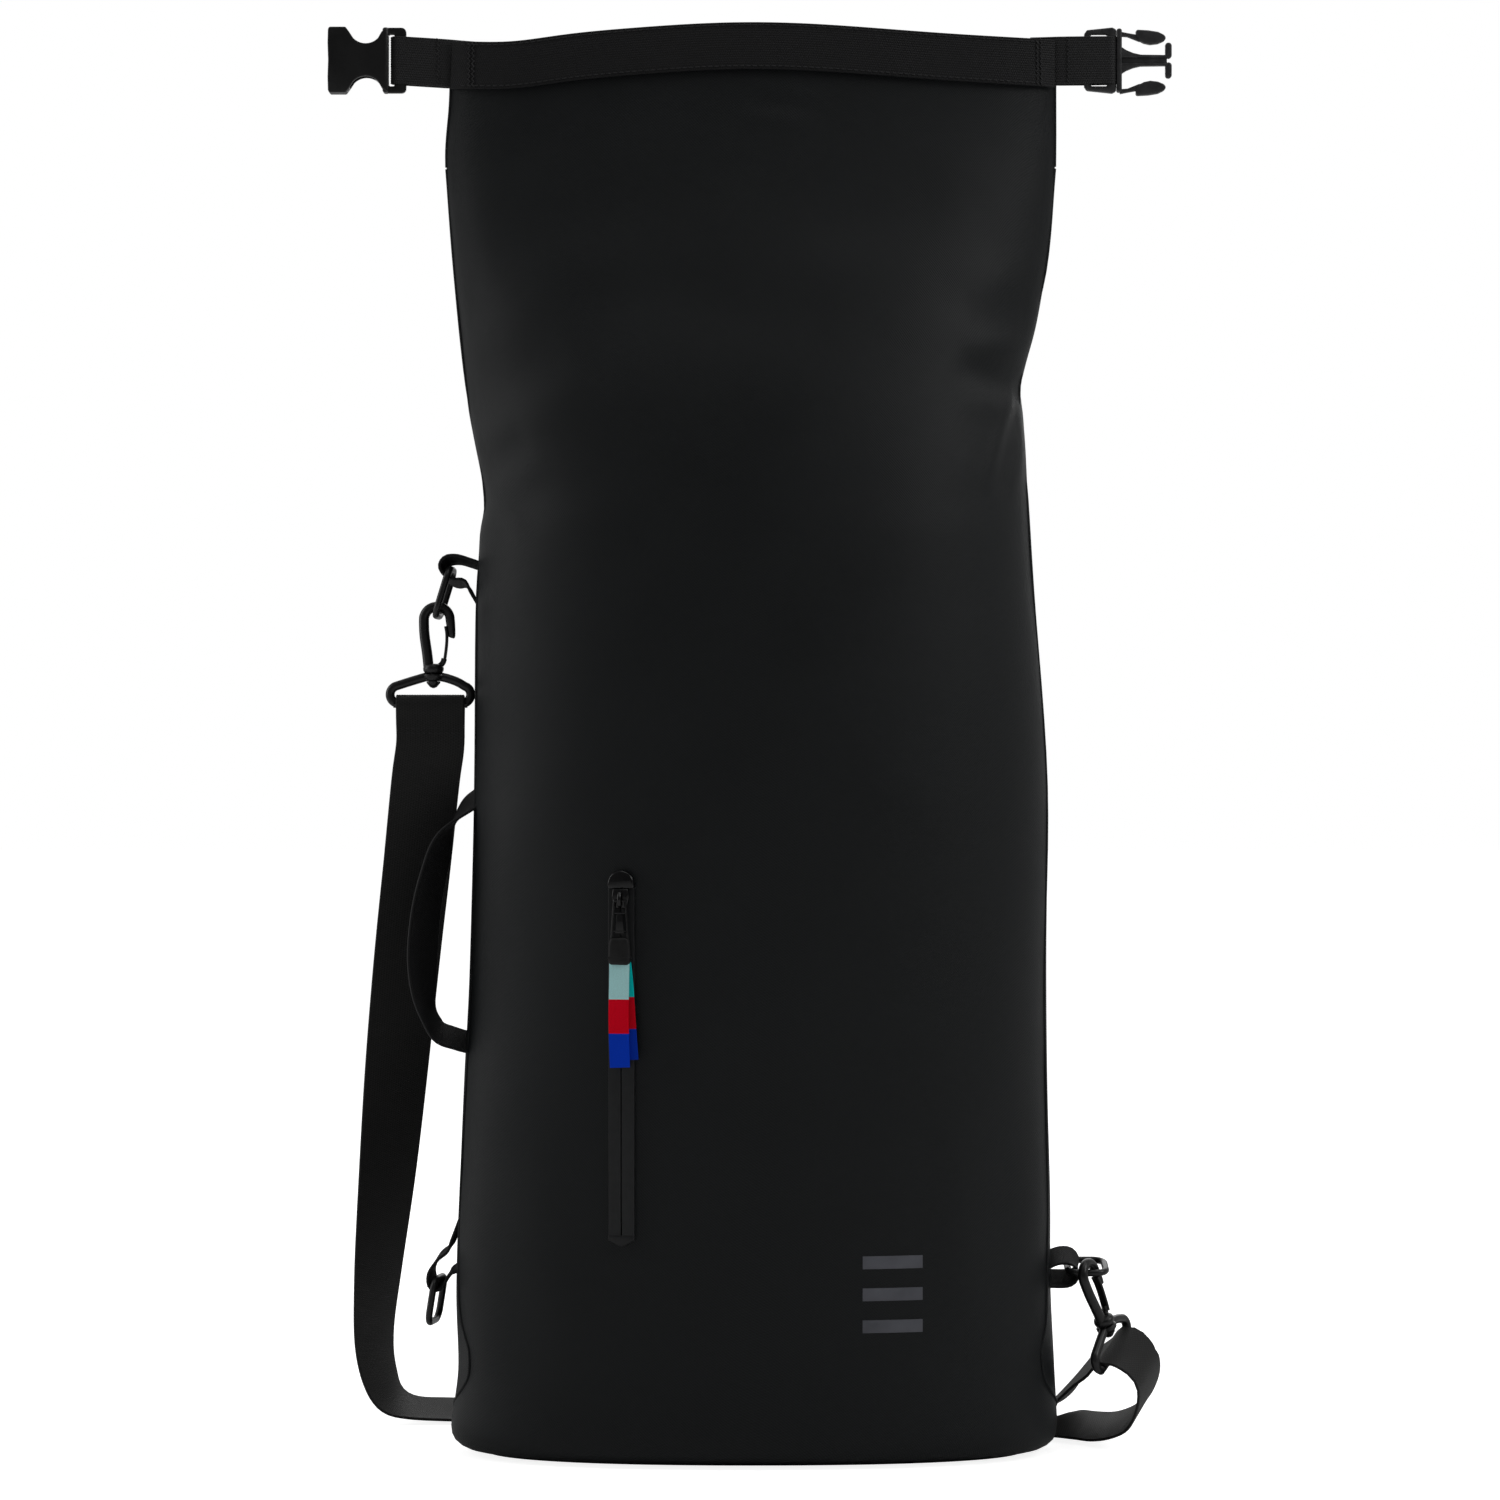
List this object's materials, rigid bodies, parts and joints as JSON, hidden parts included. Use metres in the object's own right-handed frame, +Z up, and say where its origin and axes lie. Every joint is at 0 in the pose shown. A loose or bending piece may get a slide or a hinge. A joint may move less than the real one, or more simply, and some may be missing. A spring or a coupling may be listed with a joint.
{
  "type": "roll-top rope storage bag",
  "caption": "Tall oval roll-top bag for storing rope, standing open, with side-release buckle, zip pocket, grab handle, rings and a clip-on shoulder strap.",
  "frame": {"origin": "middle of the underside of the oval base", "axes": "+Z up the bag, the zip pocket's side faces -Y, +X to the right seen from the front"},
  "size_m": [0.4441, 0.2173, 0.7486],
  "materials": {
    "coated_fabric": "black coated twill, soft satin",
    "ribbed_webbing": "black ribbed webbing",
    "strap_webbing": "charcoal strap webbing with fine ribs along it",
    "moulded_plastic": "black moulded acetal, semi-gloss",
    "stiffener_plastic": "black plastic strip",
    "zip_laminate": "smooth dark water-resistant laminate",
    "zip_metal": "black enamelled wire",
    "ribbon_cyan": "woven ribbon in broad cyan, red and blue bands"
  },
  "bodies": {
    "root": {"base_panel": "coated_fabric", "front_panel": "coated_fabric", "back_panel": "coated_fabric", "pocket_bag": "coated_fabric", "zip_garage": "zip_laminate", "zip_tape_left": "zip_laminate", "zip_tape_right": "zip_laminate", "zip_chain": "zip_laminate", "zip_stop": "zip_laminate", "upper_left_tab": "ribbed_webbing", "lower_left_tab": "ribbed_webbing", "lower_right_tab": "ribbed_webbing", "grab_handle": "ribbed_webbing", "shoulder_strap": "strap_webbing", "strap_fixed_run": "strap_webbing", "strap_slider": "moulded_plastic"},
    "lower_collar": {"collar_lower": "coated_fabric"},
    "upper_collar": {"collar_upper": "coated_fabric", "mouth_band_front": "ribbed_webbing", "mouth_band_back": "ribbed_webbing", "mouth_stiffener_front": "stiffener_plastic", "mouth_stiffener_back": "stiffener_plastic"},
    "left_buckle": {"buckle_tab_left": "ribbed_webbing", "buckle_socket": "moulded_plastic"},
    "right_buckle": {"buckle_tab_right": "ribbed_webbing", "buckle_plug_frame": "moulded_plastic"},
    "plug_arm_upper": {"buckle_plug_arm_upper": "moulded_plastic"},
    "plug_arm_lower": {"buckle_plug_arm_lower": "moulded_plastic"},
    "zip_slider": {"zip_slider": "moulded_plastic"},
    "zip_pull": {"zip_pull": "zip_metal"},
    "ribbon": {"ribbon_cap": "moulded_plastic", "ribbon_front": "ribbon_cyan", "ribbon_back": "ribbon_cyan"},
    "upper_ring": {"upper_left_ring": "moulded_plastic"},
    "upper_clip": {"upper_hook_triangle": "moulded_plastic", "strap_upper_end": "strap_webbing"},
    "upper_hook": {"upper_hook_body": "moulded_plastic"},
    "upper_gate": {"upper_hook_gate": "moulded_plastic"},
    "free_ring": {"lower_left_ring": "moulded_plastic"},
    "lower_ring": {"lower_right_ring": "moulded_plastic"},
    "lower_clip": {"lower_hook_triangle": "moulded_plastic", "strap_lower_end": "strap_webbing"},
    "lower_hook": {"lower_hook_body": "moulded_plastic"},
    "lower_gate": {"lower_hook_gate": "moulded_plastic"}
  },
  "joints": [
    {"name": "lower_roll", "type": "hinge", "parent": "root", "child": "lower_collar", "pos_m": [0, -0.034, 0.652], "axis": [1, 0, 0], "range_deg": [0, 80]},
    {"name": "upper_roll", "type": "hinge", "parent": "lower_collar", "child": "upper_collar", "pos_m": [0, -0.0255, 0.698], "axis": [1, 0, 0], "range_deg": [0, 150]},
    {"name": "left_buckle_swing", "type": "hinge", "parent": "upper_collar", "child": "left_buckle", "pos_m": [-0.1626, 0, 0.7312], "axis": [0, 0, -1], "range_deg": [-95, 95]},
    {"name": "right_buckle_swing", "type": "hinge", "parent": "upper_collar", "child": "right_buckle", "pos_m": [0.1617, 0, 0.7312], "axis": [0, 0, 1], "range_deg": [-95, 95]},
    {"name": "plug_arm_upper_flex", "type": "hinge", "parent": "right_buckle", "child": "plug_arm_upper", "pos_m": [0.1923, 0, 0.7452], "axis": [0, 1, 0], "range_deg": [0, 5], "stiffness_Nm_per_rad": 0.6},
    {"name": "plug_arm_lower_flex", "type": "hinge", "parent": "right_buckle", "child": "plug_arm_lower", "pos_m": [0.1923, 0, 0.7172], "axis": [0, -1, 0], "range_deg": [0, 5], "stiffness_Nm_per_rad": 0.6},
    {"name": "zip_travel", "type": "slide", "parent": "root", "child": "zip_slider", "axis": [0, 0.0199, -0.9998], "range_m": [0, 0.165]},
    {"name": "zip_pull_swing", "type": "hinge", "parent": "zip_slider", "child": "zip_pull", "pos_m": [-0.06808, -0.0776, 0.29138], "axis": [-0.9786, 0.2056, 0.0041], "range_deg": [0, 110]},
    {"name": "ribbon_swing", "type": "hinge", "parent": "zip_pull", "child": "ribbon", "pos_m": [-0.06808, -0.07721, 0.27139], "axis": [-0.9786, 0.2056, 0.0041], "range_deg": [0, 35]},
    {"name": "upper_ring_swing", "type": "hinge", "parent": "root", "child": "upper_ring", "pos_m": [-0.1586, 0, 0.4632], "axis": [0, 1, 0], "range_deg": [-2, 2]},
    {"name": "upper_clip_swing", "type": "hinge", "parent": "root", "child": "upper_clip", "pos_m": [-0.166, 0, 0.4389], "axis": [0, 1, 0], "range_deg": [0, 12]},
    {"name": "upper_swivel", "type": "hinge", "parent": "upper_clip", "child": "upper_hook", "pos_m": [-0.1682, 0, 0.41], "axis": [0, 0, 1], "range_deg": [-25, 25]},
    {"name": "upper_gate_open", "type": "hinge", "parent": "upper_hook", "child": "upper_gate", "pos_m": [-0.1632, 0, 0.4127], "axis": [0, -1, 0], "range_deg": [0, 14], "stiffness_Nm_per_rad": 0.15},
    {"name": "free_ring_swing", "type": "hinge", "parent": "root", "child": "free_ring", "pos_m": [-0.1649, 0, 0.0908], "axis": [0, 1, 0], "range_deg": [-9, 80]},
    {"name": "lower_ring_swing", "type": "hinge", "parent": "root", "child": "lower_ring", "pos_m": [0.1654, 0, 0.0966], "axis": [0, 0.9817, 0.1903], "range_deg": [-2, 2]},
    {"name": "lower_clip_swing", "type": "hinge", "parent": "root", "child": "lower_clip", "pos_m": [0.17589, -0.01154, 0.09436], "axis": [-1, 0, 0], "range_deg": [0, 10]},
    {"name": "lower_swivel", "type": "hinge", "parent": "lower_clip", "child": "lower_hook", "pos_m": [0.18473, -0.00464, 0.0678], "axis": [-0.3404, -0.3003, 0.891], "range_deg": [0, 20]},
    {"name": "lower_gate_open", "type": "hinge", "parent": "lower_hook", "child": "lower_gate", "pos_m": [0.18593, -0.00152, 0.07245], "axis": [0.8356, -0.5311, 0.1402], "range_deg": [0, 14], "stiffness_Nm_per_rad": 0.15}
  ]
}
